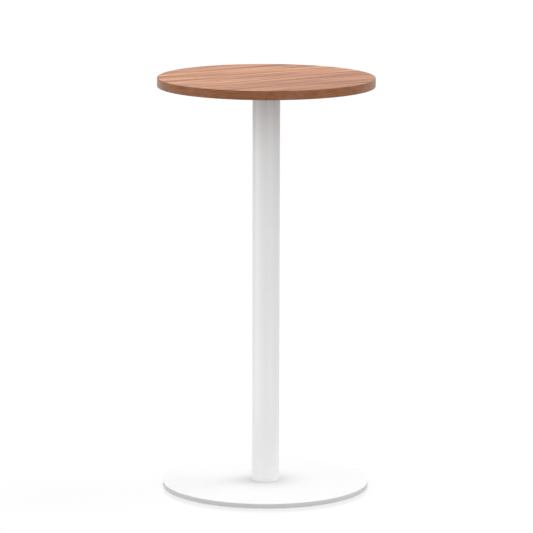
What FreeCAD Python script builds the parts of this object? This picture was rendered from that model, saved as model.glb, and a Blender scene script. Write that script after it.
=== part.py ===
import FreeCAD, Part
import math
import os

# Round bar table: a walnut-faced round top on a white steel pedestal, clamped together by one tie rod.
# Millimetres, +Z up, origin on the floor below the middle of the table.

# Overall sizes
table_height = 1145.0
top_diameter = 600.0
top_thickness = 25.0
column_diameter = 76.0
column_wall = 2.0
column_end_rounding = 1.0
base_diameter = 572.0
base_thickness = 12.0
base_above_floor = 1.0

# Edging of the top, and the rounded corners of the edging and of the base plate
band_thickness = 2.0
band_rounding = 1.5
base_top_rounding = 1.5
base_bottom_rounding = 1.0

# Tie rod with its nuts and washers, M10
rod_diameter = 10.0
rod_chamfer = 1.0
rod_past_nut = 2.0
rod_below_board = 1.0
nut_across_flats = 17.0
nut_chamfer_angle = 30.0
nut_height = 8.0
thin_nut_height = 5.0
thin_nut_cover = 0.5
washer_diameter = 30.0
washer_thickness = 2.5
lock_washer_diameter = 18.0
lock_washer_thickness = 2.5
lock_washer_slit = 1.5

# Locating ring on the base plate
ring_height = 10.0
ring_wall = 12.0
ring_lead_in = 1.5

# Spider under the top: hub
hub_flange_width = 10.0
hub_flange_thickness = 5.0
hub_draft = 4.0
hub_floor = 10.0
hub_wall = 10.0
hub_fillet = 4.0
spigot_length = 12.0
spigot_wall = 5.0
spigot_lead_in = 1.5

# Spider under the top: arms, with a rib under each and bosses for the screws
arm_count = 4
arm_first_angle = 45.0
arm_reach = 196.0
arm_root_width = 50.0
arm_tip_width = 32.0
arm_tip_rounding = 13.0
rib_thickness = 7.0
rib_short_of_boss = 9.5
rib_end_depth = 3.0
rib_above_column = 3.0
rib_bow = 3.0
rib_fillet = 2.0
boss_diameter = 17.0
boss_height = 1.5
screw_spacing = 36.0
screw_from_tip = 18.0

# Pan-head wood screws that hold the top
screw_diameter = 5.0
screw_length = 20.0
screw_point = 5.0
screw_head_diameter = 9.5
screw_head_height = 3.0
screw_head_rounding = 1.8

# Levelling glides under the base plate: nylon pad on an M8 stud
glide_count = 4
glide_first_angle = 45.0
glide_inset = 36.0
pad_diameter = 26.0
pad_height = 4.5
pad_floor = 1.2
pad_lip = 0.6
pad_edge_rounding = 0.8
pad_key_hole = 7.0
stud_diameter = 8.0
stud_chamfer = 0.6
stud_head_diameter = 14.0
stud_hex = 4.0
stud_hex_depth = 3.5
plate_skin_over_stud = 1.8

# Clearances
slip = 0.3
thread_gap = 0.15
hole_gap = 0.25
head_play = 0.1
pad_gap_in_pocket = 1.0
pad_gap_above = 0.5
stud_tip_gap = 0.3
recess_gap = 2.0

# Levels, from the floor up
base_bottom = base_above_floor
base_top = base_bottom + base_thickness
board_bottom = table_height - top_thickness
hub_recess_depth = washer_thickness + lock_washer_thickness + nut_height + rod_past_nut + rod_below_board
hub_recess_floor = board_bottom - hub_recess_depth
column_top = hub_recess_floor - hub_floor
arm_bottom = board_bottom - hub_flange_thickness
boss_bottom = arm_bottom - boss_height
base_recess_depth = washer_thickness + thin_nut_height + thin_nut_cover
base_recess_ceiling = base_bottom + base_recess_depth
thin_nut_bottom = base_bottom + thin_nut_cover
top_nut_bottom = hub_recess_floor + washer_thickness + lock_washer_thickness
rod_bottom = thin_nut_bottom
rod_top = top_nut_bottom + nut_height + rod_past_nut
pocket_ceiling = pad_height + pad_gap_above
stud_hole_top = base_top - plate_skin_over_stud
stud_top = stud_hole_top - stud_tip_gap

# Radii that several pieces share
board_radius = top_diameter / 2 - band_thickness
column_radius = column_diameter / 2
plug_radius = column_radius - column_wall - slip
rod_hole_radius = rod_diameter / 2 + hole_gap
hub_recess_radius = column_radius - hub_wall
hub_flange_radius = column_radius + hub_draft + hub_flange_width
ring_bore_radius = plug_radius - ring_wall
outer_screw_radius = arm_reach - screw_from_tip
inner_screw_radius = outer_screw_radius - screw_spacing
glide_circle_radius = base_diameter / 2 - glide_inset

# Counts and tolerances of the geometry itself
hexagon_sides = 6
tiny = 1e-6


def rounded_wire(corners):
    """Closed outline in the XZ plane through (x, z, rounding) corners, each rounded by a tangent arc."""
    points = [FreeCAD.Vector(x, 0, z) for x, z, rounding in corners]
    arrivals = []
    middles = []
    departures = []
    for here, corner in enumerate(points):
        rounding = corners[here][2]
        back = (points[here - 1] - corner).normalize()
        ahead = (points[(here + 1) % len(points)] - corner).normalize()
        half_angle = back.getAngle(ahead) / 2
        inward = (back + ahead).normalize() if rounding else FreeCAD.Vector()
        run = rounding / math.tan(half_angle)
        depth = rounding / math.sin(half_angle) - rounding
        arrivals.append(corner + back * run)
        middles.append(corner + inward * depth)
        departures.append(corner + ahead * run)
    edges = []
    for here in range(len(points)):
        start = departures[here - 1]
        if start.distanceToPoint(arrivals[here]) > tiny:
            edges.append(Part.LineSegment(start, arrivals[here]).toShape())
        if corners[here][2]:
            edges.append(Part.Arc(arrivals[here], middles[here], departures[here]).toShape())
    return Part.Wire(edges)


def turned(corners):
    """Solid turned about the table's axis from a half section of (radius, height, rounding) corners."""
    section = Part.Face(rounded_wire(corners))
    return section.revolve(FreeCAD.Vector(0, 0, 0), FreeCAD.Vector(0, 0, 1), 360)


def plan_prism(corners, bottom, height):
    """Upright prism from an outline of (x, y, rounding) corners seen from above."""
    outline = rounded_wire(corners)
    outline.rotate(FreeCAD.Vector(0, 0, 0), FreeCAD.Vector(1, 0, 0), -90)
    outline.translate(FreeCAD.Vector(0, 0, bottom))
    return Part.Face(outline).extrude(FreeCAD.Vector(0, 0, height))


def cylinder(radius, bottom, top):
    """Upright cylinder on the table's axis."""
    return Part.makeCylinder(radius, top - bottom, FreeCAD.Vector(0, 0, bottom))


def hexagon(across_flats, bottom, top):
    """Upright hexagonal prism on the table's axis."""
    corner_radius = across_flats / math.sqrt(3)
    corners = []
    for side in range(hexagon_sides):
        angle = math.radians(360 / hexagon_sides * side)
        corners.append((corner_radius * math.cos(angle), corner_radius * math.sin(angle), 0))
    return plan_prism(corners, bottom, top - bottom)


def moved(shape, x, y):
    """Copy of a shape, shifted level."""
    copy = shape.copy()
    copy.translate(FreeCAD.Vector(x, y, 0))
    return copy


def turned_to(shape, angle):
    """Copy of a shape, swung round the table's axis by an angle in degrees."""
    copy = shape.copy()
    copy.rotate(FreeCAD.Vector(0, 0, 0), FreeCAD.Vector(0, 0, 1), angle)
    return copy


def arm_angles():
    return [arm_first_angle + 360 / arm_count * arm for arm in range(arm_count)]


def glide_places():
    """Centres of the glides on the base plate."""
    places = []
    for glide in range(glide_count):
        angle = math.radians(glide_first_angle + 360 / glide_count * glide)
        places.append((glide_circle_radius * math.cos(angle), glide_circle_radius * math.sin(angle)))
    return places


def at_every_screw(shape):
    """Copies of a shape that stands on the axis, one at each screw of the top."""
    copies = []
    for angle in arm_angles():
        for radius in (inner_screw_radius, outer_screw_radius):
            copies.append(turned_to(moved(shape, radius, 0), angle))
    return copies


# Top board, its edging and its screws
def make_top_board():
    board = cylinder(board_radius, board_bottom, table_height)
    pilot_top = boss_bottom + screw_length + thread_gap
    pilot = cylinder(screw_diameter / 2 + thread_gap, board_bottom, pilot_top)
    return board.cut(at_every_screw(pilot))


def make_edge_band():
    outer = top_diameter / 2
    rounding = min(band_rounding, band_thickness)
    return turned([
        (board_radius, board_bottom, 0),
        (outer, board_bottom, rounding),
        (outer, table_height, rounding),
        (board_radius, table_height, 0),
    ])


def make_top_screws():
    head = screw_head_diameter / 2
    shank = screw_diameter / 2
    point_top = boss_bottom + screw_length
    rounding = min(screw_head_rounding, screw_head_height)
    screw = turned([
        (0, boss_bottom - screw_head_height, 0),
        (head, boss_bottom - screw_head_height, rounding),
        (head, boss_bottom, 0),
        (shank, boss_bottom, 0),
        (shank, point_top - screw_point, 0),
        (0, point_top, 0),
    ])
    return Part.makeCompound(at_every_screw(screw))


# Spider: a hub that plugs into the column, with ribbed arms that carry the board
def make_hub():
    spigot_bottom = column_top - spigot_length
    return turned([
        (rod_hole_radius, column_top, 0),
        (plug_radius - spigot_wall, column_top, 0),
        (plug_radius - spigot_wall, spigot_bottom, 0),
        (plug_radius - spigot_lead_in, spigot_bottom, 0),
        (plug_radius, spigot_bottom + spigot_lead_in, 0),
        (plug_radius, column_top, 0),
        (column_radius, column_top, 0),
        (column_radius + hub_draft, arm_bottom, hub_fillet),
        (hub_flange_radius, arm_bottom, 0),
        (hub_flange_radius, board_bottom, 0),
        (hub_recess_radius, board_bottom, 0),
        (hub_recess_radius, hub_recess_floor, 0),
        (rod_hole_radius, hub_recess_floor, 0),
    ])


def make_arm_plate(root):
    """Flat tapered top of an arm, from inside the hub's wall to the rounded tip."""
    half_root = arm_root_width / 2
    half_tip = arm_tip_width / 2
    rounding = min(arm_tip_rounding, half_tip)
    return plan_prism([
        (root, -half_root, 0),
        (arm_reach, -half_tip, rounding),
        (arm_reach, half_tip, rounding),
        (root, half_root, 0),
    ], arm_bottom, hub_flange_thickness)


def make_rib(root):
    """Upright rib under an arm: round-ended in plan, with a bowed lower edge that rises to the tip."""
    reach = inner_screw_radius - boss_diameter / 2 - rib_short_of_boss
    half_rib = rib_thickness / 2
    rib_bottom = column_top + rib_above_column
    rib_end = arm_bottom - rib_end_depth
    plan = plan_prism([
        (root, -half_rib, 0),
        (reach, -half_rib, half_rib),
        (reach, half_rib, half_rib),
        (root, half_rib, 0),
    ], rib_bottom, arm_bottom - rib_bottom)
    upper_root = FreeCAD.Vector(root, 0, arm_bottom)
    lower_root = FreeCAD.Vector(root, 0, rib_bottom)
    at_hub = FreeCAD.Vector(column_radius, 0, rib_bottom)
    lower_end = FreeCAD.Vector(reach, 0, rib_end)
    upper_end = FreeCAD.Vector(reach, 0, arm_bottom)
    bowed_middle = (at_hub + lower_end) / 2 + FreeCAD.Vector(0, 0, rib_bow)
    side = Part.Wire([
        Part.LineSegment(upper_root, lower_root).toShape(),
        Part.LineSegment(lower_root, at_hub).toShape(),
        Part.Arc(at_hub, bowed_middle, lower_end).toShape(),
        Part.LineSegment(lower_end, upper_end).toShape(),
        Part.LineSegment(upper_end, upper_root).toShape(),
    ])
    side.translate(FreeCAD.Vector(0, -half_rib, 0))
    return plan.common(Part.Face(side).extrude(FreeCAD.Vector(0, rib_thickness, 0)))


def foot_of_rib(arm, root):
    """Edges where the rib's sides and round end meet the underside of the arm's plate."""
    edges = []
    for edge in arm.Edges:
        box = edge.BoundBox
        level = abs(box.ZMin - arm_bottom) < tiny and abs(box.ZMax - arm_bottom) < tiny
        beside_rib = max(abs(box.YMin), abs(box.YMax)) < rib_thickness / 2 + tiny
        if level and beside_rib and box.XMax > root + tiny:
            edges.append(edge)
    return edges


def make_arm():
    root = (hub_recess_radius + column_radius) / 2
    arm = make_arm_plate(root).fuse(make_rib(root)).removeSplitter()
    arm = arm.makeFillet(min(rib_fillet, rib_end_depth / 2), foot_of_rib(arm, root))
    boss = cylinder(boss_diameter / 2, boss_bottom, arm_bottom)
    return arm.fuse([moved(boss, radius, 0) for radius in (inner_screw_radius, outer_screw_radius)])


def make_spider():
    arm = make_arm()
    casting = make_hub().fuse([turned_to(arm, angle) for angle in arm_angles()]).removeSplitter()
    screw_hole = cylinder(screw_diameter / 2 + hole_gap, boss_bottom, board_bottom)
    return casting.cut(at_every_screw(screw_hole))


# Column and tie rod
def make_column():
    """Tube with its two ends ground smooth outside."""
    bore = column_radius - column_wall
    rounding = min(column_end_rounding, column_wall / 2)
    return turned([
        (bore, base_top, 0),
        (column_radius, base_top, rounding),
        (column_radius, column_top, rounding),
        (bore, column_top, 0),
    ])


def make_tie_rod():
    radius = rod_diameter / 2
    return turned([
        (0, rod_bottom, 0),
        (radius - rod_chamfer, rod_bottom, 0),
        (radius, rod_bottom + rod_chamfer, 0),
        (radius, rod_top - rod_chamfer, 0),
        (radius - rod_chamfer, rod_top, 0),
        (0, rod_top, 0),
    ])


def make_nut(bottom, height):
    """Hexagon nut with its corners chamfered at 30 degrees on both faces."""
    flat = nut_across_flats / 2
    rim = nut_across_flats / math.sqrt(3) + thread_gap
    drop = (rim - flat) * math.tan(math.radians(nut_chamfer_angle))
    chamfered = turned([
        (rod_diameter / 2 + thread_gap, bottom, 0),
        (flat, bottom, 0),
        (rim, bottom + drop, 0),
        (rim, bottom + height - drop, 0),
        (flat, bottom + height, 0),
        (rod_diameter / 2 + thread_gap, bottom + height, 0),
    ])
    return hexagon(nut_across_flats, bottom, bottom + height).common(chamfered)


def make_washer(bottom):
    disc = cylinder(washer_diameter / 2, bottom, bottom + washer_thickness)
    return disc.cut(cylinder(rod_hole_radius, bottom, bottom + washer_thickness))


def make_lock_washer(bottom):
    top = bottom + lock_washer_thickness
    ring = cylinder(lock_washer_diameter / 2, bottom, top).cut(cylinder(rod_hole_radius, bottom, top))
    slit = Part.makeBox(
        lock_washer_diameter,
        lock_washer_slit,
        lock_washer_thickness,
        FreeCAD.Vector(0, -lock_washer_slit / 2, bottom),
    )
    return ring.cut(slit)


# Base plate with its locating ring
def make_base_plate():
    radius = base_diameter / 2
    plate = turned([
        (0, base_bottom, 0),
        (radius, base_bottom, base_bottom_rounding),
        (radius, base_top, base_top_rounding),
        (0, base_top, 0),
    ])
    nut_recess = cylinder(washer_diameter / 2 + recess_gap, base_bottom, base_recess_ceiling)
    rod_hole = cylinder(rod_hole_radius, base_recess_ceiling, base_top)
    pocket = cylinder(pad_diameter / 2 + pad_gap_in_pocket, base_bottom, pocket_ceiling)
    stud_hole = cylinder(stud_diameter / 2 + thread_gap, pocket_ceiling, stud_hole_top)
    cuts = [nut_recess, rod_hole]
    for x, y in glide_places():
        cuts.append(moved(pocket, x, y))
        cuts.append(moved(stud_hole, x, y))
    return plate.cut(cuts)


def make_locating_ring():
    top = base_top + ring_height
    return turned([
        (ring_bore_radius, base_top, 0),
        (plug_radius, base_top, 0),
        (plug_radius, top - ring_lead_in, 0),
        (plug_radius - ring_lead_in, top, 0),
        (ring_bore_radius, top, 0),
    ])


# Levelling glides
def make_glide_pad():
    outer = pad_diameter / 2
    neck = stud_diameter / 2 + hole_gap
    socket = stud_head_diameter / 2 + slip
    socket_top = pad_height - pad_lip
    return turned([
        (pad_key_hole / 2, 0, 0),
        (outer, 0, pad_edge_rounding),
        (outer, pad_height, pad_edge_rounding),
        (neck, pad_height, 0),
        (neck, socket_top, 0),
        (socket, socket_top, 0),
        (socket, pad_floor, 0),
        (pad_key_hole / 2, pad_floor, 0),
    ])


def make_glide_stud():
    head = stud_head_diameter / 2
    shank = stud_diameter / 2
    head_bottom = pad_floor + head_play
    head_top = pad_height - pad_lip - head_play
    stud = turned([
        (0, head_bottom, 0),
        (head, head_bottom, 0),
        (head, head_top, 0),
        (shank, head_top, 0),
        (shank, stud_top - stud_chamfer, 0),
        (shank - stud_chamfer, stud_top, 0),
        (0, stud_top, 0),
    ])
    return stud.cut(hexagon(stud_hex, head_bottom, head_bottom + stud_hex_depth))


pieces = {
    "top_board": make_top_board(),
    "edge_band": make_edge_band(),
    "top_screws": make_top_screws(),
    "spider": make_spider(),
    "column": make_column(),
    "tie_rod": make_tie_rod(),
    "rod_top_washer": make_washer(hub_recess_floor),
    "rod_top_lock_washer": make_lock_washer(hub_recess_floor + washer_thickness),
    "rod_top_nut": make_nut(top_nut_bottom, nut_height),
    "rod_bottom_washer": make_washer(base_recess_ceiling - washer_thickness),
    "rod_bottom_nut": make_nut(thin_nut_bottom, thin_nut_height),
    "base_plate": make_base_plate(),
    "base_locating_ring": make_locating_ring(),
}
glide_pad = make_glide_pad()
glide_stud = make_glide_stud()
for number, (x, y) in enumerate(glide_places(), start=1):
    pieces[f"glide_pad_{number}"] = moved(glide_pad, x, y)
    pieces[f"glide_stud_{number}"] = moved(glide_stud, x, y)

os.makedirs("parts", exist_ok=True)
for name, shape in pieces.items():
    shape.exportStep(f"parts/{name}.step")
    print(f"{name}: {len(shape.Solids)} solid, {shape.Volume / 1000:.1f} cm3, valid {shape.isValid()}")
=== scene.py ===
# %% [markdown]
# A round bar table, dressed for its portrait
#
# The table is a round walnut-decor top on a slim white column and a flat white base plate.
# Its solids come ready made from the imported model, so nothing here moves or resizes them.
# This lesson turns the pieces that show most again with finer detail, gives every piece its
# finish, and sets up the camera, the floor and the light of a plain studio picture.

# %% Load the frame
import math

import bmesh
import bpy
from mathutils import Matrix, Vector


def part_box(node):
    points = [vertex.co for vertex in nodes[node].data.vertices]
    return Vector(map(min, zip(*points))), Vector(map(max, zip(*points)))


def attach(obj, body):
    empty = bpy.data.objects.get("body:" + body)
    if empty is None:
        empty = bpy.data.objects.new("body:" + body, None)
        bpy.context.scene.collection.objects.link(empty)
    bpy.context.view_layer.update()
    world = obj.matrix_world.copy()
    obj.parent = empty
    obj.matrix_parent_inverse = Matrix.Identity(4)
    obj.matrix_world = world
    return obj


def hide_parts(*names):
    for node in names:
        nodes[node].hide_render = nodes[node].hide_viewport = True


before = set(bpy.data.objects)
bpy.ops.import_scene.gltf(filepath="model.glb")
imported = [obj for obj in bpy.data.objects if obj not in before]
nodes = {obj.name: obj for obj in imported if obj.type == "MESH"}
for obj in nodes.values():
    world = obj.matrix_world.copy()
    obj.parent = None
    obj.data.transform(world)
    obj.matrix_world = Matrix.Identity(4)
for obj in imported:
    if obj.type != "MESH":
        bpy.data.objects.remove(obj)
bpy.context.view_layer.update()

# %% [markdown]
# Sizes that are read, not written
#
# A fine piece has to fit where the coarse one is, and a finish has to know where its piece is: the
# edging's grain runs round the rim, so it needs the rim's radius. Such sizes could be written down
# here, but they would be wrong after the next change of the solid model. So they are read from the
# boxes of the pieces, and only what no box shows, such as a rounding, is a number of this file.

# %% Measure the pieces
MM = 0.001
board_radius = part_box("top_board")[1].x
rim_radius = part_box("edge_band")[1].x
column_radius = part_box("column")[1].x
plate_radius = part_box("base_plate")[1].x
plate_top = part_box("base_plate")[1].z
radii = (board_radius, rim_radius, column_radius, plate_radius)
print("radius of board, rim, column and plate in mm:", *(round(radius / MM, 1) for radius in radii))

# %% [markdown]
# The camera
#
# The picture was taken from far away with a long lens, a little above the top: the round top and
# the round plate both show as thin ellipses, and the column hardly tapers. A shorter lens from
# closer by could frame the table as well, but it would widen the top against the plate, so the
# distance matters as much as the angle. The height is counted from the top of the plate, the tilt
# brings the whole table into the frame, and a small roll makes up for a camera that was not quite
# level. A camera that isn't turned looks straight down, so a quarter turn brings its view level
# first.

# %% Place the camera
CAMERA_DISTANCE = 9.7735
CAMERA_ABOVE_PLATE = 2.352
CAMERA_RIGHT = 0.0016
CAMERA_TILT_DOWN = 10.138
CAMERA_ROLL = 0.15
CAMERA_LENS = 242.34
SENSOR_WIDTH = 36.0
FARTHEST_SEEN = 200.0
QUARTER_TURN = math.radians(90.0)

camera_data = bpy.data.cameras.new("portrait_camera")
camera_data.lens = CAMERA_LENS
camera_data.sensor_width = SENSOR_WIDTH
camera_data.clip_end = FARTHEST_SEEN
camera = bpy.data.objects.new("portrait_camera", camera_data)
camera.location = (CAMERA_RIGHT, -CAMERA_DISTANCE, plate_top + CAMERA_ABOVE_PLATE)
camera_tilt = Matrix.Rotation(QUARTER_TURN - math.radians(CAMERA_TILT_DOWN), 3, "X")
camera_roll = Matrix.Rotation(math.radians(CAMERA_ROLL), 3, "Z")
camera.rotation_euler = (camera_tilt @ camera_roll).to_euler()
bpy.context.scene.collection.objects.link(camera)
bpy.context.scene.camera = camera
print("camera height:", round(camera.location.z, 3))

# %% [markdown]
# Outlines
#
# Most pieces of this table come off a lathe, and a turned piece needs only half of its section, as
# a closed line of (radius, height) points. Its rounded corners could be made later with a Bevel
# modifier, but that rounds every edge that it finds alike. Here each corner of the outline brings
# its own rounding, and an arc between its two tangent points takes the corner's place.

# %% Outlines with rounded corners
ARC_STEPS = 6


def rounded_outline(*corners):
    """Points of a closed outline through (radius, height, rounding) corners."""
    spots = [Vector(corner[:2]) for corner in corners]
    points = []
    for here, corner in enumerate(spots):
        rounding = corners[here][2]
        if not rounding:
            points.append(corner)
            continue
        back = (spots[here - 1] - corner).normalized()
        ahead = (spots[(here + 1) % len(spots)] - corner).normalized()
        half_angle = back.angle(ahead) / 2
        middle = corner + (back + ahead).normalized() * rounding / math.sin(half_angle)
        first = (corner + back * rounding / math.tan(half_angle) - middle).normalized()
        last = (corner + ahead * rounding / math.tan(half_angle) - middle).normalized()
        for step in range(ARC_STEPS + 1):
            points.append(middle + first.slerp(last, step / ARC_STEPS) * rounding)
    return points


print("a rounded corner has", ARC_STEPS + 1, "points")

# %% [markdown]
# Turning
#
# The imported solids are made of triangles, and on the largest ones these are coarse: the column has
# some forty sides, and the small roundings at the rims are ragged. A Screw modifier could turn an
# outline once round the axis, but it leaves double points where the outline meets the axis. Here
# the rings are laid point by point, and where the outline touches the axis they shrink to one
# point, so that the skin is closed. The first point lies half a step off the X axis: no point then
# stands further out than the coarse piece, whose box the fine one has to keep to.

# %% Turning an outline
SIDES = 256
ON_AXIS = 1e-6


def turned(outline, sides=SIDES):
    """Mesh that an outline sweeps as it turns once about the table's axis."""
    shape = bmesh.new()
    rings = []
    for radius, height in outline:
        if radius < ON_AXIS:
            rings.append([shape.verts.new((0.0, 0.0, height))] * sides)
            continue
        ring = []
        for side in range(sides):
            angle = math.tau * (side + 0.5) / sides
            ring.append(shape.verts.new((radius * math.cos(angle), radius * math.sin(angle), height)))
        rings.append(ring)
    for near, far in zip(rings, rings[1:] + rings[:1]):
        for side in range(sides):
            corners = dict.fromkeys((near[side], near[side - 1], far[side - 1], far[side]))
            if len(corners) > 2:
                shape.faces.new(corners)
    bmesh.ops.recalc_face_normals(shape, faces=shape.faces)
    return shape


print("a turned piece has", SIDES, "sides")

# %% [markdown]
# From mesh to piece
#
# A mesh becomes a piece of the table when it rides on a body and stands for the coarse solid that it
# hides. Round faces are shaded smooth. Plain smooth shading would also bend the light on the flat
# faces beside a rounding, so edges above an angle stay sharp, and weighted normals let the large flat
# faces win at the small roundings.

# %% Adding a piece
SHARP_ANGLE = 30.0
parts = dict(nodes)


def as_object(name, shape):
    """Object made of a mesh that is still being worked on."""
    mesh = bpy.data.meshes.new(name)
    shape.to_mesh(mesh)
    shape.free()
    made = bpy.data.objects.new(name, mesh)
    bpy.context.scene.collection.objects.link(made)
    return made


def add_piece(name, shape, replaced, body="table"):
    """Piece of the dressed table that takes the place of a packed one."""
    piece = as_object(name, shape)
    piece.data.shade_smooth()
    piece.data.set_sharp_from_angle(angle=math.radians(SHARP_ANGLE))
    piece.modifiers.new("flat_faces_stay_flat", "WEIGHTED_NORMAL").keep_sharp = True
    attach(piece, body)
    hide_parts(replaced)
    parts[name] = piece
    print(name, "has", len(piece.data.polygons), "faces")


print("pieces to dress:", len(parts))

# %% [markdown]
# Edging and column
#
# The edging is a thin strip of plastic with a walnut print, glued round the board. Its two outer
# corners are rounded, so that nobody grazes an elbow. The column is a steel tube. Its cut ends are
# ground smooth, which leaves a fine groove where it stands on the plate and where it meets the
# casting above. A cylinder with a Solidify modifier would give each its wall, but not the rounded
# corners. Both are rings, so they are turned from an outline that stays off the axis.

# %% Edging and column
EDGING_ROUNDING = 1.5 * MM
COLUMN_WALL = 2.0 * MM
COLUMN_ROUNDING = 1.0 * MM

low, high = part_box("edge_band")
add_piece("walnut_edge", turned(rounded_outline(
    (board_radius, low.z, 0.0),
    (rim_radius, low.z, EDGING_ROUNDING),
    (rim_radius, high.z, EDGING_ROUNDING),
    (board_radius, high.z, 0.0),
)), "edge_band")

low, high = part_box("column")
add_piece("column_tube", turned(rounded_outline(
    (column_radius - COLUMN_WALL, low.z, 0.0),
    (column_radius, low.z, COLUMN_ROUNDING),
    (column_radius, high.z, COLUMN_ROUNDING),
    (column_radius - COLUMN_WALL, high.z, 0.0),
)), "column")

# %% [markdown]
# Holes and copies
#
# Some holes are off the axis, so they can't be turned with their piece: the pockets for the feet,
# the pilot holes for the screws. The faces could be cut and bridged by hand, but a Boolean does it
# in one step and keeps the skin closed. Where a cut or a screw comes again, one mesh is made and
# copied to each place.

# %% Copies and cuts


def placed_copies(shape, places):
    """One mesh with a copy of the shape at each place, and the shape used up."""
    pattern = bpy.data.meshes.new("pattern")
    shape.to_mesh(pattern)
    shape.free()
    copies = bmesh.new()
    for place in places:
        copy = pattern.copy()
        copy.transform(place)
        copies.from_mesh(copy)
        bpy.data.meshes.remove(copy)
    bpy.data.meshes.remove(pattern)
    return copies


def cut_away(shape, cutter):
    """The first mesh less the second, and both used up."""
    whole = as_object("whole", shape)
    knife = as_object("knife", cutter)
    cut = whole.modifiers.new("cut", "BOOLEAN")
    cut.object = knife
    cut.solver = "EXACT"
    result = bmesh.new()
    result.from_object(whole, bpy.context.evaluated_depsgraph_get())
    for used in (whole, knife):
        mesh = used.data
        bpy.data.objects.remove(used)
        bpy.data.meshes.remove(mesh)
    return result


print("helpers ready: placed_copies, cut_away")

# %% [markdown]
# Base plate
#
# The plate is a disc cut from thick steel, with a rounded rim and a recess for the rod's nut under
# its middle, and these are turned. Its four pockets for the feet could be left out, because nobody
# sees them while the table stands, but then feet and studs would run through the plate's mesh, and
# nothing would show where they go when they are wound in. So they are cut: one stepped cutter, a
# wide pocket with the narrow hole for the stud above it, is copied to each foot.

# %% Plate blank
PLATE_TOP_ROUNDING = 1.5 * MM
PLATE_BOTTOM_ROUNDING = 1.0 * MM
NUT_ROOM = 2.0 * MM
ROD_ROOM = 0.25 * MM

low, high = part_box("base_plate")
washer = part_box("rod_bottom_washer")[1]
recess_radius = washer.x + NUT_ROOM
rod_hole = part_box("tie_rod")[1].x + ROD_ROOM
plate_blank = turned(rounded_outline(
    (rod_hole, washer.z, 0.0),
    (recess_radius, washer.z, 0.0),
    (recess_radius, low.z, 0.0),
    (high.x, low.z, PLATE_BOTTOM_ROUNDING),
    (high.x, high.z, PLATE_TOP_ROUNDING),
    (rod_hole, high.z, 0.0),
))
print("plate blank has", len(plate_blank.faces), "faces")

# %% Plate with its pockets
PAD_ROOM = 1.0 * MM
ROOM_ABOVE_PAD = 0.5 * MM
STUD_RADIUS = 4.0 * MM
THREAD_ROOM = 0.15 * MM
ROOM_ABOVE_STUD = 0.3 * MM
SMALL_SIDES = 64
FOOT_NUMBERS = (1, 2, 3, 4)


def foot_places():
    """Where the feet are, as shifts from the table's axis."""
    places = []
    for number in FOOT_NUMBERS:
        low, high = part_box(f"glide_pad_{number}")
        middle = (low + high) / 2
        places.append(Matrix.Translation((middle.x, middle.y, 0.0)))
    return places


def foot_pockets():
    """Cutters for the pockets of all feet."""
    low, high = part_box("glide_pad_1")
    pocket_radius = (high.x - low.x) / 2 + PAD_ROOM
    ceiling = high.z + ROOM_ABOVE_PAD
    stud_hole = STUD_RADIUS + THREAD_ROOM
    stud_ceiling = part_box("glide_stud_1")[1].z + ROOM_ABOVE_STUD
    return placed_copies(turned(rounded_outline(
        (0.0, -ceiling, 0.0),
        (pocket_radius, -ceiling, 0.0),
        (pocket_radius, ceiling, 0.0),
        (stud_hole, ceiling, 0.0),
        (stud_hole, stud_ceiling, 0.0),
        (0.0, stud_ceiling, 0.0),
    ), SMALL_SIDES), foot_places())


add_piece("foot_plate", cut_away(plate_blank, foot_pockets()), "base_plate")

# %% [markdown]
# Threads
#
# Screws, rod and studs are threaded. A thread is a groove that climbs by one pitch in each turn. It
# could be swept along a helix, but a swept groove ends in open holes that have to be closed. Here a
# turned piece gets rings close together, and each point moves in by how far it lies from the crest
# of the thread. The skin stays closed, and the groove can run out on a cone as it does at the point
# of a wood screw. A profile says what share of the pitch is flat crest and flat root, and how deep
# the groove is, as a share of the radius.

# %% Threads
THREAD_SIDES = 24
RINGS_PER_PITCH = 6
MACHINE_PROFILE = {"crest": 0.125, "root": 0.25, "depth": 0.185}
WOOD_PROFILE = {"crest": 0.1, "root": 0.5, "depth": 0.34}


def fine_stretch(start, end, pitch):
    """Outline points from start to end, close enough together to carry a thread."""
    first, last = Vector(start), Vector(end)
    rings = math.ceil(abs(last.y - first.y) / pitch * RINGS_PER_PITCH)
    return [first.lerp(last, ring / rings) for ring in range(rings + 1)]


def cut_thread(shape, low, high, pitch, crest, root, depth):
    """Right-hand groove between two heights of a turned mesh. The rings at the two heights stay round."""
    margin = pitch / RINGS_PER_PITCH / 2
    for point in shape.verts:
        if low + margin < point.co.z < high - margin:
            turn = math.atan2(point.co.y, point.co.x) / math.tau
            from_crest = abs(2.0 * ((point.co.z / pitch - turn) % 1.0) - 1.0)
            groove = (from_crest - crest) / (1.0 - crest - root)
            point.co.xy *= 1.0 - depth * min(max(groove, 0.0), 1.0)
    return shape


print("a thread has", RINGS_PER_PITCH, "rings to a pitch")

# %% [markdown]
# Screws under the top
#
# Eight pan-head wood screws hold the top on its casting. A driver needs a recess, so each head gets
# a cross that narrows as it goes in, like a real one. It could be a picture of a cross, but a
# screw head is seen from a hand's breadth when the table is put together, so it is cut. No two
# screws stop at the same angle, so each is turned by a further step.

# %% Cross recess
CROSS_SPAN = 2.6 * MM
CROSS_ARM = 0.55 * MM
CROSS_DEPTH = 1.7 * MM
CROSS_NARROWING = 0.3
CROSS_ARMS = 4


def cross_ring(cross, height, scale):
    """Ring of points in the shape of a cross."""
    ring = []
    for arm in range(CROSS_ARMS):
        swing = Matrix.Rotation(math.tau * arm / CROSS_ARMS, 2)
        for corner in ((CROSS_SPAN, -CROSS_ARM), (CROSS_SPAN, CROSS_ARM), (CROSS_ARM, CROSS_ARM)):
            spot = swing @ Vector(corner) * scale
            ring.append(cross.verts.new((spot.x, spot.y, height)))
    return ring


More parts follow.
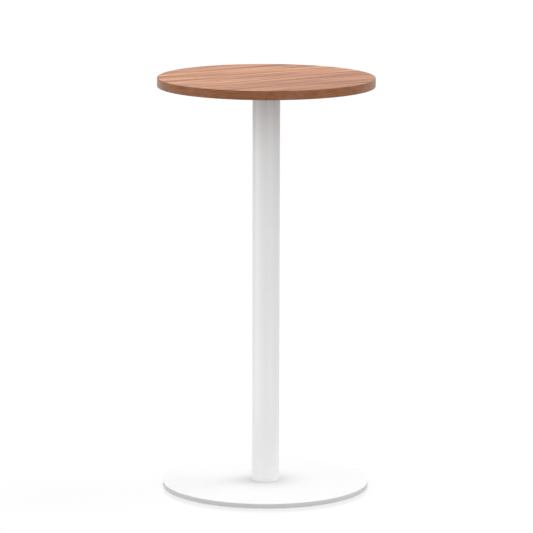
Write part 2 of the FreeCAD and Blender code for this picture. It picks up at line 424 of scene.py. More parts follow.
def cross_cutter(mouth):
    """Cross that narrows upwards and has its full size at the mouth of the recess."""
    cross = bmesh.new()
    wide = cross_ring(cross, mouth - CROSS_DEPTH, 2.0 - CROSS_NARROWING)
    narrow = cross_ring(cross, mouth + CROSS_DEPTH, CROSS_NARROWING)
    for here in range(len(wide)):
        cross.faces.new((wide[here - 1], wide[here], narrow[here], narrow[here - 1]))
    cross.faces.new(wide)
    cross.faces.new(narrow)
    bmesh.ops.recalc_face_normals(cross, faces=cross.faces)
    return cross


print("the cross is", round(2 * CROSS_SPAN / MM, 1), "mm wide")

# %% Screws
SCREW_HEAD_RADIUS = 4.75 * MM
SCREW_HEAD_HEIGHT = 3.0 * MM
SCREW_HEAD_ROUNDING = 1.8 * MM
SCREW_RADIUS = 2.5 * MM
SCREW_NECK = 4.0 * MM
SCREW_POINT = 5.0 * MM
SCREW_PITCH = 2.2 * MM
SCREW_SPACING = 36.0 * MM
ARM_ANGLES = (45.0, 135.0, 225.0, 315.0)
TURN_STEP = 37.0

screw_low, screw_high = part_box("top_screws")


def one_screw():
    """Screw on the table's axis, at its height under the top."""
    seat = screw_low.z + SCREW_HEAD_HEIGHT
    neck = seat + SCREW_NECK
    cone = screw_high.z - SCREW_POINT
    outline = rounded_outline(
        (0.0, screw_low.z, 0.0),
        (SCREW_HEAD_RADIUS, screw_low.z, SCREW_HEAD_ROUNDING),
        (SCREW_HEAD_RADIUS, seat, 0.0),
        (SCREW_RADIUS, seat, 0.0),
    )
    outline += fine_stretch((SCREW_RADIUS, neck), (SCREW_RADIUS, cone), SCREW_PITCH)
    outline += fine_stretch((SCREW_RADIUS, cone), (0.0, screw_high.z), SCREW_PITCH)[1:]
    blank = turned(outline, THREAD_SIDES)
    cut_thread(blank, neck, screw_high.z, SCREW_PITCH, **WOOD_PROFILE)
    return cut_away(blank, cross_cutter(screw_low.z))


def screw_places():
    """Two places on each arm of the casting, each with a further turn of the screw."""
    outer_circle = (screw_high.x - SCREW_HEAD_RADIUS) / math.cos(math.radians(ARM_ANGLES[0]))
    places = []
    for angle in ARM_ANGLES:
        for circle in (outer_circle, outer_circle - SCREW_SPACING):
            swing = Matrix.Rotation(math.radians(angle), 4, "Z")
            spin = Matrix.Rotation(math.radians(TURN_STEP * len(places)), 4, "Z")
            places.append(swing @ Matrix.Translation((circle, 0.0, 0.0)) @ spin)
    return places


add_piece("wood_screws", placed_copies(one_screw(), screw_places()), "top_screws")

# %% [markdown]
# Top
#
# The top is a board of pressed wood with a walnut decor on both faces. Blender's own cylinder would
# do for a plain disc, but turned like the edging it has the same sides, so that no gap opens between
# the two. Its underside has a pilot hole for each screw. The holes don't show while the table stands,
# but without them the screws would run through the board's mesh.

# %% Top
low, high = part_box("top_board")
pilot_radius = SCREW_RADIUS + THREAD_ROOM
pilot_holes = placed_copies(turned(rounded_outline(
    (0.0, screw_low.z, 0.0),
    (pilot_radius, screw_low.z, 0.0),
    (pilot_radius, screw_high.z + THREAD_ROOM, 0.0),
    (0.0, screw_high.z + THREAD_ROOM, 0.0),
), SMALL_SIDES), screw_places())
board_blank = turned(rounded_outline(
    (0.0, low.z, 0.0),
    (board_radius, low.z, 0.0),
    (board_radius, high.z, 0.0),
    (0.0, high.z, 0.0),
))
add_piece("walnut_top", cut_away(board_blank, pilot_holes), "top_board")

# %% [markdown]
# Tie rod
#
# One long rod clamps the plate, the column and the casting together. It could be threaded from end
# to end, as rod is sold by the metre, but a rod made for one table is threaded only where its nuts
# run. Its ends are chamfered, so that a nut finds its start.

# %% Tie rod
ROD_PITCH = 1.5 * MM
ROD_THREAD = 40.0 * MM
ROD_CHAMFER = 1.0 * MM

low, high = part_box("tie_rod")
rod_outline = [Vector((0.0, low.z)), Vector((high.x - ROD_CHAMFER, low.z))]
rod_outline += fine_stretch((high.x, low.z + ROD_CHAMFER), (high.x, low.z + ROD_THREAD), ROD_PITCH)
rod_outline += fine_stretch((high.x, high.z - ROD_THREAD), (high.x, high.z - ROD_CHAMFER), ROD_PITCH)
rod_outline += [Vector((high.x - ROD_CHAMFER, high.z)), Vector((0.0, high.z))]
rod = turned(rod_outline, THREAD_SIDES)
cut_thread(rod, low.z - ROD_PITCH, low.z + ROD_THREAD, ROD_PITCH, **MACHINE_PROFILE)
cut_thread(rod, high.z - ROD_THREAD, high.z + ROD_PITCH, ROD_PITCH, **MACHINE_PROFILE)
add_piece("threaded_rod", rod, "tie_rod")

# %% [markdown]
# Levelling studs
#
# Each foot sits on the flat head of a stud that screws into the plate. A hexagon key goes through
# the foot into the head and winds it in or out. The hexagon could be drawn and extruded, but turning
# an outline with only six sides gives the same cutter in one call. Each stud rides on its own body,
# because it turns as its foot travels.

# %% Levelling studs
STUD_HEAD_HEIGHT = 2.5 * MM
STUD_CHAMFER = 0.6 * MM
STUD_PITCH = 1.25 * MM
KEY_FLATS = 4.0 * MM
KEY_DEPTH = 3.5 * MM
KEY_SIDES = 6


def one_stud():
    """Stud on the table's axis, at its height in the plate."""
    low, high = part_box("glide_stud_1")
    head_radius = (high.x - low.x) / 2
    seat = low.z + STUD_HEAD_HEIGHT
    outline = [Vector((0.0, low.z)), Vector((head_radius, low.z)), Vector((head_radius, seat))]
    outline += fine_stretch((STUD_RADIUS, seat), (STUD_RADIUS, high.z - STUD_CHAMFER), STUD_PITCH)
    outline += [Vector((STUD_RADIUS - STUD_CHAMFER, high.z)), Vector((0.0, high.z))]
    blank = turned(outline, SMALL_SIDES)
    cut_thread(blank, seat, high.z + STUD_PITCH, STUD_PITCH, **MACHINE_PROFILE)
    key_radius = KEY_FLATS / 2 / math.cos(math.pi / KEY_SIDES)
    key = turned(rounded_outline(
        (0.0, low.z - KEY_DEPTH, 0.0),
        (key_radius, low.z - KEY_DEPTH, 0.0),
        (key_radius, low.z + KEY_DEPTH, 0.0),
        (0.0, low.z + KEY_DEPTH, 0.0),
    ), KEY_SIDES)
    return cut_away(blank, key)


for number, place in zip(FOOT_NUMBERS, foot_places()):
    stud = placed_copies(one_stud(), [place])
    add_piece(f"levelling_stud_{number}", stud, f"glide_stud_{number}", f"stud_{number}")

# %% [markdown]
# A short hand for node trees
#
# The floor, the sky and every finish below are small networks of shader nodes. They could be built
# by hand in the shader editor, but then the script would not hold them. Written out in full, each
# node takes five lines, and the idea gets lost. This helper adds a node, sets it and wires it in
# one call, so that a finish reads like a recipe. A value that is a socket is linked; any other
# value is set.

# %% Helper for node trees


class NodeDesk:
    """Adds nodes to one tree and wires them."""

    def __init__(self, tree):
        self.tree = tree

    def feed(self, socket, value):
        """Links a socket to another one, or sets its value."""
        if isinstance(value, bpy.types.NodeSocket):
            self.tree.links.new(value, socket)
        else:
            socket.default_value = value

    def add(self, kind, feeds=None, **settings):
        """New node with its settings made and its sockets fed."""
        node = self.tree.nodes.new("ShaderNode" + kind)
        for name, value in settings.items():
            setattr(node, name, value)
        for socket, value in (feeds or {}).items():
            self.feed(node.inputs[socket], value)
        return node

    def math(self, operation, first, second=0.0):
        """Result of a Math node with one or two numbers."""
        return self.add("Math", {0: first, 1: second}, operation=operation).outputs[0]

    def vector(self, operation, first, second):
        """Result of a Vector Math node with two vectors."""
        return self.add("VectorMath", {0: first, 1: second}, operation=operation).outputs[0]


print("node helper ready: feed, add, math, vector")

# %% [markdown]
# Patterns, mixtures and places
#
# Nearly every finish needs the same few things: a cloudy pattern, a soft step, a mix of two colours,
# a bump, and the place on the table that they depend on. Each is only a node or two, and a finish
# could add them itself, but their sockets are easy to mix up: a Mix node, for one, has a set of them
# for numbers, one for vectors and one for colours, all with the same names. So each gets a plain
# name here. They build on the first helper and stand apart from it, because that one only knows
# nodes, and this one knows what they are for.

# %% Helper for finishes
MIX_COLOUR_INPUTS = (0, 6, 7)
MIX_COLOUR_OUTPUT = 2


class FinishDesk(NodeDesk):
    """Node helper with patterns, mixtures and places on the table."""

    def noise(self, place, detail=2.0, roughness=0.5):
        """Cloudy value from 0 to 1, one cloud wide for each unit of place."""
        feeds = {"Vector": place, "Scale": 1.0, "Detail": detail, "Roughness": roughness}
        return self.add("TexNoise", feeds).outputs["Fac"]

    def clouds(self, place, per_metre, **pattern):
        """Cloudy value with so many clouds to a metre along X, Y and Z."""
        return self.noise(self.vector("MULTIPLY", place, per_metre), **pattern)

    def spread(self, value, low, high):
        """Value moved so that low becomes 0 and high becomes 1, with soft ends."""
        feeds = {"Value": value, "From Min": low, "From Max": high}
        return self.add("MapRange", feeds, interpolation_type="SMOOTHSTEP").outputs["Result"]

    def raised(self, start, value, share):
        """Start, raised by a share of a value."""
        return self.math("ADD", self.math("MULTIPLY", value, share), start)

    def blend(self, share, first, second):
        """Colour that goes from first to second as share goes from 0 to 1."""
        node = self.add("Mix", data_type="RGBA")
        for socket, value in zip(MIX_COLOUR_INPUTS, (share, first, second)):
            self.feed(node.inputs[socket], value)
        return node.outputs[MIX_COLOUR_OUTPUT]

    def bump(self, height, distance):
        """Normal of a surface that is raised by height times distance, in metres."""
        return self.add("Bump", {"Height": height, "Distance": distance}).outputs["Normal"]

    def place(self):
        """Place on the table in metres."""
        return self.add("TexCoord").outputs["Object"]

    def from_axis(self):
        """Distance from the table's upright axis in metres."""
        level_place = self.vector("MULTIPLY", self.place(), (1.0, 1.0, 0.0))
        return self.add("VectorMath", {0: level_place}, operation="LENGTH").outputs["Value"]


print("finish helper ready: noise, clouds, spread, raised, blend, bump, place, from_axis")

# %% [markdown]
# The studio: sky and floor
#
# The picture has a white ground that runs into a white background, and soft light from all round.
# A photographer gets this from a big diffuser above a lit white table with a thin polish, in which
# the rim of the plate shows once more, faintly. Here the sky is an even white dome. The floor could
# be one white material, but white paper would throw so much light back up that the upright edges
# came out as bright as the level faces, and in the picture they are half as bright. So the floor
# has two sides. To the camera and to reflections it is the lit table: mostly its own even white, a
# share of paper that takes the table's shadow, and the polish, which is dulled away from the plate
# so that the column isn't mirrored. To light that only bounces about it is a dim grey. From below
# nothing of it shows, and under the plate it lets light through, so that the underside of the table
# can be looked at. Only close to the rim it stays grey there, because the gap under the plate has to
# look dark. It lies a hair under the feet, because two faces at one level would flicker.

# %% Sky
SKY_STRENGTH = 0.945


def grey(level):
    """Colour without a tint."""
    return (level, level, level, 1.0)


def seen_directly(desk):
    """1 for rays from the camera, a mirror or glass, and 0 for light that only bounces about."""
    rays = desk.add("LightPath").outputs
    seen = desk.math("MAXIMUM", rays["Is Camera Ray"], rays["Is Glossy Ray"])
    return desk.math("MAXIMUM", seen, rays["Is Transmission Ray"])


world = bpy.data.worlds.new("white_dome")
world.use_nodes = True
desk = NodeDesk(world.node_tree)
sky = world.node_tree.nodes["Background"].inputs
sky["Color"].default_value = grey(1.0)
desk.feed(sky["Strength"], desk.math("MAXIMUM", seen_directly(desk), SKY_STRENGTH))
bpy.context.scene.world = world
print("sky:", world.name, "at", SKY_STRENGTH)

# %% Finish: floor
FLOOR_PAPER = 0.94
FLOOR_SHADOW = 0.3
FLOOR_GLOSS = 0.26
FLOOR_ROUGHNESS = 0.02
POLISH_FULL = 20.0 * MM
POLISH_GONE = 65.0 * MM
FLOOR_BOUNCE = 0.14
CLEAR_INSIDE_RIM = 12.0 * MM
GREY_INSIDE_RIM = 4.0 * MM

floor_white = bpy.data.materials.new("studio_floor")
floor_white.use_nodes = True
floor_white.node_tree.nodes.clear()
desk = FinishDesk(floor_white.node_tree)
bounce = desk.add("BsdfDiffuse", {"Color": grey(FLOOR_BOUNCE)}).outputs[0]
paper = desk.add("BsdfDiffuse", {"Color": grey(FLOOR_PAPER)}).outputs[0]
lit_table = desk.add("Emission", {"Strength": 1.0}).outputs[0]
white = desk.add("MixShader", {0: FLOOR_SHADOW, 1: lit_table, 2: paper}).outputs[0]
mirror = desk.add("BsdfGlossy", {"Color": grey(1.0), "Roughness": FLOOR_ROUGHNESS}).outputs[0]
past_plate = desk.math("SUBTRACT", desk.from_axis(), plate_radius)
dull = desk.spread(past_plate, POLISH_FULL, POLISH_GONE)
gloss = desk.math("MULTIPLY", desk.math("SUBTRACT", 1.0, dull), FLOOR_GLOSS)
polished = desk.add("MixShader", {0: gloss, 1: white, 2: mirror}).outputs[0]
see_through = desk.add("BsdfTransparent").outputs[0]
near_rim = desk.spread(past_plate, -CLEAR_INSIDE_RIM, -GREY_INSIDE_RIM)
unseen = desk.add("MixShader", {0: near_rim, 1: see_through, 2: bounce}).outputs[0]
floor_look = desk.add("MixShader", {0: seen_directly(desk), 1: unseen, 2: polished}).outputs[0]
from_below = desk.add("NewGeometry").outputs["Backfacing"]
one_sided = desk.add("MixShader", {0: from_below, 1: floor_look, 2: see_through}).outputs[0]
desk.add("OutputMaterial", {"Surface": one_sided})
print("floor finish:", len(floor_white.node_tree.nodes), "nodes")

# %% Floor
FLOOR_HALF_WIDTH = 40.0
FLOOR_BELOW_FEET = 0.1 * MM

side = FLOOR_HALF_WIDTH
level = -FLOOR_BELOW_FEET
floor_mesh = bpy.data.meshes.new("studio_floor")
floor_mesh.from_pydata(
    [(-side, -side, level), (side, -side, level), (side, side, level), (-side, side, level)],
    [], [(0, 1, 2, 3)])
floor_mesh.materials.append(floor_white)
floor = bpy.data.objects.new("studio_floor", floor_mesh)
bpy.context.scene.collection.objects.link(floor)
print("floor:", 2 * FLOOR_HALF_WIDTH, "m wide")

# %% [markdown]
# The studio: lamps
#
# In the picture the column throws two soft shadows on the plate, a longer one to the left and a
# shorter one to the right. So there is a key light at the right, a little behind the table, and a
# wider, weaker fill at the left. They could be large area lamps, but those light the floor
# unevenly, so both are wide suns. The column is brighter than the edges of the top and of the
# plate, so it has light of its own: two tall strip lights with a honeycomb grid, which lets their
# light out straight ahead only. They stand at the column's height, so that they miss the plate and
# hardly touch the top.

# %% Helpers for lamps
SUN_DISTANCE = 6.0
STRIP_DISTANCE = 4.0
STRIP_MIDDLE = 0.62
STRIP_WIDTH = 0.5
STRIP_HEIGHT = 0.95
GRID_SPREAD = 6.0


def aimed_lamp(name, kind, azimuth, elevation, distance, aim):
    """Lamp that looks at a height on the column. Azimuth 0 is the camera's side, 90 the right."""
    data = bpy.data.lights.new(name, kind)
    lamp = bpy.data.objects.new(name, data)
    turn = math.radians(azimuth)
    rise = math.radians(elevation)
    reach = distance * math.cos(rise)
    lamp.location = (reach * math.sin(turn), -reach * math.cos(turn), aim + distance * math.sin(rise))
    lamp.rotation_euler = (QUARTER_TURN - rise, 0.0, turn)
    bpy.context.scene.collection.objects.link(lamp)
    return data


def soft_sun(name, azimuth, elevation, width, level):
    """Sun as wide as the given angle. Level is the light that it adds to a level white face."""
    data = aimed_lamp(name, "SUN", azimuth, elevation, SUN_DISTANCE, 0.0)
    data.angle = math.radians(width)
    data.energy = math.pi * level / math.sin(math.radians(elevation))
    return data


def strip_light(name, azimuth, power):
    """Tall strip with a grid, level with the middle of the column."""
    data = aimed_lamp(name, "AREA", azimuth, 0.0, STRIP_DISTANCE, STRIP_MIDDLE)
    data.shape = "RECTANGLE"
    data.size = STRIP_WIDTH
    data.size_y = STRIP_HEIGHT
    data.spread = math.radians(GRID_SPREAD)
    data.energy = power
    return data


print("lamp helpers ready: soft_sun, strip_light")

# %% Lamps
lamps = [
    soft_sun("right_key", azimuth=105.0, elevation=59.0, width=30.0, level=0.135),
    soft_sun("left_fill", azimuth=-90.0, elevation=58.0, width=60.0, level=0.065),
    strip_light("left_strip", azimuth=-80.0, power=0.388),
    strip_light("front_strip", azimuth=30.0, power=0.321),
]
bpy.context.scene.view_settings.view_transform = "Standard"
print("lamps:", ", ".join(lamp.name for lamp in lamps))

# %% [markdown]
# Groups and materials
#
# An effect that several finishes share could be copied into each of them, but then every change has
# to be made in all the copies. So it is a node group: it is built once, takes a few named inputs and
# puts out colours, masks or heights. The shader itself stays in each material, where its gloss is
# set. These helpers start a group or a material and give a finish to pieces by name.

# %% Helpers for groups and materials


def new_group(name, inputs, outputs):
    """Empty shader node group, as (tree, desk, the sockets to read, the sockets to fill)."""
    tree = bpy.data.node_groups.new(name, "ShaderNodeTree")
    for direction, sockets in (("INPUT", inputs), ("OUTPUT", outputs)):
        for socket, kind in sockets.items():
            tree.interface.new_socket(socket, in_out=direction, socket_type="NodeSocket" + kind)
    entry = tree.nodes.new("NodeGroupInput")
    result = tree.nodes.new("NodeGroupOutput")
    return tree, FinishDesk(tree), entry.outputs, result.inputs


def new_material(name):
    """Material with a Principled shader, as (material, desk, the shader's sockets)."""
    material = bpy.data.materials.new(name)
    material.use_nodes = True
    shader = material.node_tree.nodes["Principled BSDF"]
    return material, FinishDesk(material.node_tree), shader.inputs


def dress(material, *names):
    """Gives a finish to pieces by name."""
    for name in names:
        mesh = parts[name].data
        if not mesh.materials:
            mesh.materials.append(None)
        parts[name].material_slots[0].material = material
    print(material.name, "on", ", ".join(names))


print("helpers ready: new_group, new_material, dress")

# %% [markdown]
# Walnut figure
#
# The top and its edging both show walnut, so one node group draws the figure for both. A scan of a
# veneer would repeat and blur, and a plain Wave texture looks like painted stripes. Real walnut
# shows many things at many scales: broad lighter and darker streaks, thin lines, growth rings that
# are cut so flat that they show as long nested loops, dark veins, fine fibres and short dark pores.
# All are clouds of noise, stretched far along the grain. Rings and veins are contour lines: a
# smooth cloud is folded to and fro, and each fold is a ring, or only the middle of a cloud is kept,
# and that is a vein. A slow drift bends everything a little, because no tree is straight. The group
# takes a place in metres, with X along the grain, and three colours. Each kind of cloud says how many
# of it fit in a metre along the grain, across it and through the board.

# %% Group: walnut figure
DRIFT_CLOUDS = (1.6, 4.0, 4.0)
STREAK_CLOUDS = (1.8, 56.0, 56.0)
LINE_CLOUDS = (3.0, 130.0, 130.0)
VEIN_CLOUDS = (1.8, 26.0, 26.0)
RING_CLOUDS = (0.7, 11.0, 11.0)
FIBRE_CLOUDS = (14.0, 700.0, 700.0)
PORE_CLOUDS = (75.0, 1900.0, 1900.0)
CLOUD_MIDDLE = 0.5
DRIFT_REACH = 0.05
RING_FOLDS = 16.0
VEIN_WIDTH = 0.045
VEIN_DEPTH = 0.7
PORE_EDGE = (0.60, 0.72)

walnut_tree, desk, given, put = new_group(
    "Walnut figure",
    {"Place": "Vector", "Light": "Color", "Middle": "Color", "Dark": "Color"},
    {"Color": "Color", "Pores": "Float", "Height": "Float"},
)
drift_cloud = desk.clouds(given["Place"], DRIFT_CLOUDS, detail=1.0)
drift = desk.math("MULTIPLY", desk.math("SUBTRACT", drift_cloud, CLOUD_MIDDLE), DRIFT_REACH)
place = desk.vector("ADD", given["Place"], desk.add("CombineXYZ", {"Y": drift}).outputs[0])
streaks = desk.clouds(place, STREAK_CLOUDS, detail=2.5, roughness=0.55)
lines = desk.clouds(place, LINE_CLOUDS, detail=2.0, roughness=0.6)
ring_cloud = desk.clouds(place, RING_CLOUDS, detail=1.0)
rings = desk.math("PINGPONG", desk.math("MULTIPLY", ring_cloud, RING_FOLDS), 1.0)
fibres = desk.clouds(place, FIBRE_CLOUDS, detail=3.0, roughness=0.65)
pores = desk.spread(desk.clouds(place, PORE_CLOUDS, detail=1.0), *PORE_EDGE)
vein_cloud = desk.clouds(place, VEIN_CLOUDS, detail=2.0)
from_vein = desk.math("ABSOLUTE", desk.math("SUBTRACT", vein_cloud, CLOUD_MIDDLE))
veins = desk.math("SUBTRACT", 1.0, desk.spread(from_vein, 0.0, VEIN_WIDTH))
veins = desk.math("MULTIPLY", desk.math("MULTIPLY", veins, lines), VEIN_DEPTH)
print("walnut figure:", len(walnut_tree.nodes), "nodes for its clouds")

# %% Colours and relief of the walnut figure
STREAK_SHARE = 0.50
LINE_SHARE = 0.26
RING_SHARE = 0.10
FIBRE_SHARE = 0.14
DARK_TO_MIDDLE = (0.39, 0.50)
MIDDLE_TO_LIGHT = (0.50, 0.61)
PORE_DARKNESS = 0.5
FIBRE_RELIEF = 0.3

tone = desk.math("MULTIPLY", streaks, STREAK_SHARE)
for cloud, share in ((lines, LINE_SHARE), (rings, RING_SHARE), (fibres, FIBRE_SHARE)):
    tone = desk.raised(tone, cloud, share)
lower = desk.blend(desk.spread(tone, *DARK_TO_MIDDLE), given["Dark"], given["Middle"])
figure = desk.blend(desk.spread(tone, *MIDDLE_TO_LIGHT), lower, given["Light"])
figure = desk.blend(veins, figure, given["Dark"])
figure = desk.blend(desk.math("MULTIPLY", pores, PORE_DARKNESS), figure, given["Dark"])
desk.feed(put["Color"], figure)
desk.feed(put["Pores"], pores)
desk.feed(put["Height"], desk.math("SUBTRACT", desk.math("MULTIPLY", fibres, FIBRE_RELIEF), pores))
print("walnut figure:", len(walnut_tree.nodes), "nodes in all")

# %% [markdown]
# Joint lines
#
# Where the edging meets the board, and where the strip's two ends meet, a hair of dark glue shows.
# It is too thin to be worth a groove in the mesh, so it is a colour. The group needs only the
# distance from the joint, which each finish works out in its own way. The core of the line is all
# glue, and from there to the line's full width it fades.

# %% Group: joint line
GLUE_CORE = 0.5

joint_tree, desk, given, put = new_group(
    "Joint line",
    {"Color": "Color", "Glue": "Color", "From joint": "Float", "Width": "Float"},
    {"Color": "Color"},
)
core = desk.math("MULTIPLY", given["Width"], GLUE_CORE)
clear_of_glue = desk.spread(given["From joint"], core, given["Width"])
desk.feed(put["Color"], desk.blend(clear_of_glue, given["Glue"], given["Color"]))
print("joint line:", len(joint_tree.nodes), "nodes")

# %% [markdown]
# Lacquered walnut
#
# Board and edging are finished alike: the figure, the hair of glue at the joint, and over both a
# satin lacquer. It could be a coat layer of the shader, but that lays a second gloss over the first,
# so it is the plain gloss, with a little less of it in the pores. The two differ in their colours, in
# how the grain runs and in where the joint is. Each finish hands these over, and one helper does the
# rest.

# %% Helper for lacquered walnut
GLUE = (0.09, 0.035, 0.016, 1.0)
PORE_ROUGHNESS = 0.12
PORE_RELIEF = 0.05 * MM
LACQUER_GLOSS = 0.25


def lacquer_walnut(desk, shader, place, colours, from_joint, joint_width, roughness):
    """Feeds a shader with the walnut figure, its joint line and the lacquer."""
    figure = desk.add("Group", {"Place": place, **colours}, node_tree=walnut_tree).outputs
    glued = desk.add("Group", {
        "Color": figure["Color"],
        "Glue": GLUE,
        "From joint": from_joint,
        "Width": joint_width,
    }, node_tree=joint_tree).outputs
    desk.feed(shader["Base Color"], glued["Color"])
    desk.feed(shader["Roughness"], desk.raised(roughness, figure["Pores"], PORE_ROUGHNESS))
    desk.feed(shader["Normal"], desk.bump(figure["Height"], PORE_RELIEF))
    shader["Specular IOR Level"].default_value = LACQUER_GLOSS


print("helper ready: lacquer_walnut")

# %% [markdown]
# The top: walnut decor board
#
# The board's two faces are one sheet of decor each. A picture of a sheet would need the board to be
# unwrapped, but for a figure made of nodes the place on the table is enough. The grain lies across
# the table at an angle, rising to the rear right, so the place is turned before it goes into the
# figure. The shift picks a stretch of the endless figure that looks like the one in the picture. The
# joint is the board's rim, where the edging is glued on.

# %% Finish: walnut decor
GRAIN_ANGLE = 32.5
SHEET_SHIFT = (2.3, 2.7, 0.0)
DECOR_COLOURS = {
    "Light": (0.77, 0.372, 0.177, 1.0),
    "Middle": (0.518, 0.203, 0.091, 1.0),
    "Dark": (0.21, 0.066, 0.026, 1.0),
}
DECOR_ROUGHNESS = 0.45
GLUE_LINE = 0.2 * MM

decor, desk, shader = new_material("walnut_decor")
grain_place = desk.add("VectorRotate", {
    "Vector": desk.place(),
    "Angle": math.radians(-GRAIN_ANGLE),
}, rotation_type="Z_AXIS").outputs[0]
sheet_place = desk.vector("ADD", grain_place, SHEET_SHIFT)
from_rim = desk.math("SUBTRACT", board_radius, desk.from_axis())
lacquer_walnut(desk, shader, sheet_place, DECOR_COLOURS, from_rim, GLUE_LINE, DECOR_ROUGHNESS)
dress(decor, "walnut_top")

# %% [markdown]
# The edging
#
# The edging is a strip with the same print, wound round the rim, so its grain runs along the strip
# and not across it. Box or object coordinates would draw the grain straight through the rim. So the
# place along the strip is the angle round the table times the rim's radius, and its two ends meet
# at the rear. The print is finer, darker and more even than the board's.

# %% Finish: walnut edging
STRIP_SHIFT = 11.9
STRIP_FIGURE = (12.0, 4.5, 1.0)
EDGING_COLOURS = {
    "Light": (0.425, 0.17, 0.07, 1.0),
    "Middle": (0.354, 0.138, 0.057, 1.0),
    "Dark": (0.265, 0.099, 0.042, 1.0),
}
EDGING_ROUGHNESS = 0.37
BUTT_JOINT = 0.15 * MM

edging, desk, shader = new_material("walnut_edging")
spot = desk.add("SeparateXYZ", {0: desk.place()}).outputs
turn_round = desk.math("ARCTAN2", spot["X"], desk.math("MULTIPLY", spot["Y"], -1.0))
around = desk.math("MULTIPLY", turn_round, rim_radius)
along = desk.math("ADD", around, STRIP_SHIFT)
strip = desk.add("CombineXYZ", {"X": along, "Y": spot["Z"]}).outputs[0]
strip_place = desk.vector("MULTIPLY", strip, STRIP_FIGURE)
from_ends = desk.math("SUBTRACT", math.pi * rim_radius, desk.math("ABSOLUTE", around))
lacquer_walnut(desk, shader, strip_place, EDGING_COLOURS, from_ends, BUTT_JOINT, EDGING_ROUGHNESS)
dress(edging, "walnut_edge")

# %% [markdown]
# Sprayed and moulded skins
#
# Powder coat flows into a very fine orange peel as it bakes, a casting has a coarser skin, and a
# moulded foot a finer one. Such a skin is far too fine for the mesh. All are a soft, small
# unevenness, so one group makes the height for a bump, at a grain size that each material sets, and
# a slow change of tone with it.

# %% Group: fine skin
TONE_CLOUDS = (9.0, 9.0, 5.0)

skin_tree, desk, given, put = new_group(
    "Fine skin",
    {"Place": "Vector", "Bumps per metre": "Float"},
    {"Height": "Float", "Tone": "Float"},
)
bump_feeds = {0: given["Place"], "Scale": given["Bumps per metre"]}
bump_place = desk.add("VectorMath", bump_feeds, operation="SCALE").outputs[0]
desk.feed(put["Height"], desk.noise(bump_place, detail=1.5, roughness=0.4))
desk.feed(put["Tone"], desk.clouds(given["Place"], TONE_CLOUDS, detail=3.0))


def fine_skin(desk, bumps):
    """Height and tone of a skin with so many bumps to a metre."""
    feeds = {"Place": desk.place(), "Bumps per metre": bumps}
    return desk.add("Group", feeds, node_tree=skin_tree).outputs


print("fine skin:", len(skin_tree.nodes), "nodes")

# %% [markdown]
# White powder coat
#
# Column, plate, the ring inside and the casting are metal under a satin white coat. One flat white
# would do for a small thing, but a large plain face looks dead with it, so the white has a slow
# change of tone, too small to name.

# %% Finish: white coats
TONE_ROUGHNESS = 0.08
POWDER_BUMPS = 750.0
POWDER_RELIEF = 0.02 * MM
CASTING_BUMPS = 420.0
CASTING_RELIEF = 0.06 * MM


def white_coat(name, bumps, relief, roughness, bright, dim):
    """White paint on steel or on a casting, as (material, desk, shader, its colour)."""
    material, desk, shader = new_material(name)
    skin = fine_skin(desk, bumps)
    colour = desk.blend(skin["Tone"], grey(dim), grey(bright))
    desk.feed(shader["Base Color"], colour)
    desk.feed(shader["Roughness"], desk.raised(roughness, skin["Tone"], TONE_ROUGHNESS))
    desk.feed(shader["Normal"], desk.bump(skin["Height"], relief))
    return material, desk, shader, colour


powder_coat = white_coat(
    "white_powder_coat", POWDER_BUMPS, POWDER_RELIEF, roughness=0.36, bright=0.905, dim=0.885)[0]
casting_coat = white_coat(
    "white_casting", CASTING_BUMPS, CASTING_RELIEF, roughness=0.42, bright=0.86, dim=0.82)[0]
dress(powder_coat, "column_tube", "base_locating_ring")
dress(casting_coat, "spider")

# %% [markdown]
# The plate's coat, with painted shade round the foot
#
# The plate has the same coat as the column, a little more matt from cleaning, but its white is set a
# little brighter than the column's: painted light on the level plate. Round the foot of the column a
# grey is mixed into the white as painted shade, where the column's soft shadow falls. An ambient
# occlusion node could find that corner, but it would find the pockets underneath too. So the mask is
# the distance from the foot: darkest there, fading out on the plate, and only on faces that look up.

# %% Finish: plate coat
# Painted shade: a grey that stands for the column's soft shadow on the plate round its foot.
FOOT_SHADE_GREY = grey(0.66)
FOOT_SHADE_REACH = 0.14
FOOT_SHADE_FALL = 3.0
FOOT_SHADE_STRENGTH = 0.83
LOOKS_UP = (0.5, 0.9)

# The plate's white is brighter than the column's: painted light on the level face of the same coat.
plate_coat, desk, shader, colour = white_coat(
    "white_plate_coat", POWDER_BUMPS, POWDER_RELIEF, roughness=0.5, bright=0.935, dim=0.915)
from_foot = desk.math("SUBTRACT", desk.from_axis(), column_radius)
closeness = desk.math("SUBTRACT", 1.0, desk.math("DIVIDE", from_foot, FOOT_SHADE_REACH))
shade_falloff = desk.math("POWER", desk.math("MAXIMUM", closeness, 0.0), FOOT_SHADE_FALL)
facing = desk.add("SeparateXYZ", {0: desk.add("TexCoord").outputs["Normal"]}).outputs["Z"]
foot_shade = desk.math("MULTIPLY", shade_falloff, desk.spread(facing, *LOOKS_UP))
foot_shade = desk.math("MULTIPLY", foot_shade, FOOT_SHADE_STRENGTH)
# The plate's white is greyed by the painted shade round the foot.
desk.feed(shader["Base Color"], desk.blend(foot_shade, colour, FOOT_SHADE_GREY))
dress(plate_coat, "foot_plate")

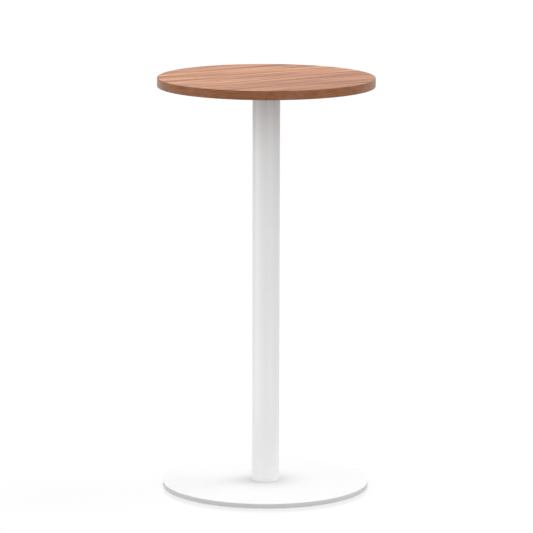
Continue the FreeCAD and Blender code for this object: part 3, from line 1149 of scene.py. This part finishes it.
# %% [markdown]
# Zinc plate
#
# Rod, nuts, washers, screws and studs are zinc plated. Zinc is a metal, so its colour is that of
# its mirror image, and a plain grey metal would look like chrome. The plating grows in tiny
# crystals: the fine skin, at a very small grain, clouds the colour and the gloss.

# %% Finish: zinc plate
ZINC_DIM = (0.54, 0.55, 0.57, 1.0)
ZINC_BRIGHT = (0.68, 0.68, 0.67, 1.0)
ZINC_ROUGHNESS = 0.22
CRYSTAL_ROUGHNESS = 0.2
CRYSTALS_PER_METRE = 2500.0

zinc, desk, shader = new_material("zinc_steel")
crystals = fine_skin(desk, CRYSTALS_PER_METRE)["Height"]
desk.feed(shader["Base Color"], desk.blend(crystals, ZINC_DIM, ZINC_BRIGHT))
desk.feed(shader["Roughness"], desk.raised(ZINC_ROUGHNESS, crystals, CRYSTAL_ROUGHNESS))
shader["Metallic"].default_value = 1.0
loose_metal = [name for name in nodes if name.startswith("rod_")]
studs = [f"levelling_stud_{number}" for number in FOOT_NUMBERS]
dress(zinc, "wood_screws", "threaded_rod", *loose_metal, *studs)

# %% [markdown]
# Nylon
#
# The feet are moulded from black nylon, which slides without marking the floor. They could be plain
# black, but full black swallows every shape. So the colour stays a little above it, and the moulded
# skin breaks up the gloss.

# %% Finish: nylon
NYLON_DIM = (0.016, 0.016, 0.017, 1.0)
NYLON_BRIGHT = (0.03, 0.03, 0.031, 1.0)
NYLON_ROUGHNESS = 0.48
SKIN_ROUGHNESS = 0.15
SKIN_RELIEF = 0.03 * MM
SKIN_BUMPS_PER_METRE = 3200.0

nylon, desk, shader = new_material("black_nylon")
skin = fine_skin(desk, SKIN_BUMPS_PER_METRE)
desk.feed(shader["Base Color"], desk.blend(skin["Tone"], NYLON_DIM, NYLON_BRIGHT))
desk.feed(shader["Roughness"], desk.raised(NYLON_ROUGHNESS, skin["Height"], SKIN_ROUGHNESS))
desk.feed(shader["Normal"], desk.bump(skin["Height"], SKIN_RELIEF))
dress(nylon, *[f"glide_pad_{number}" for number in FOOT_NUMBERS])
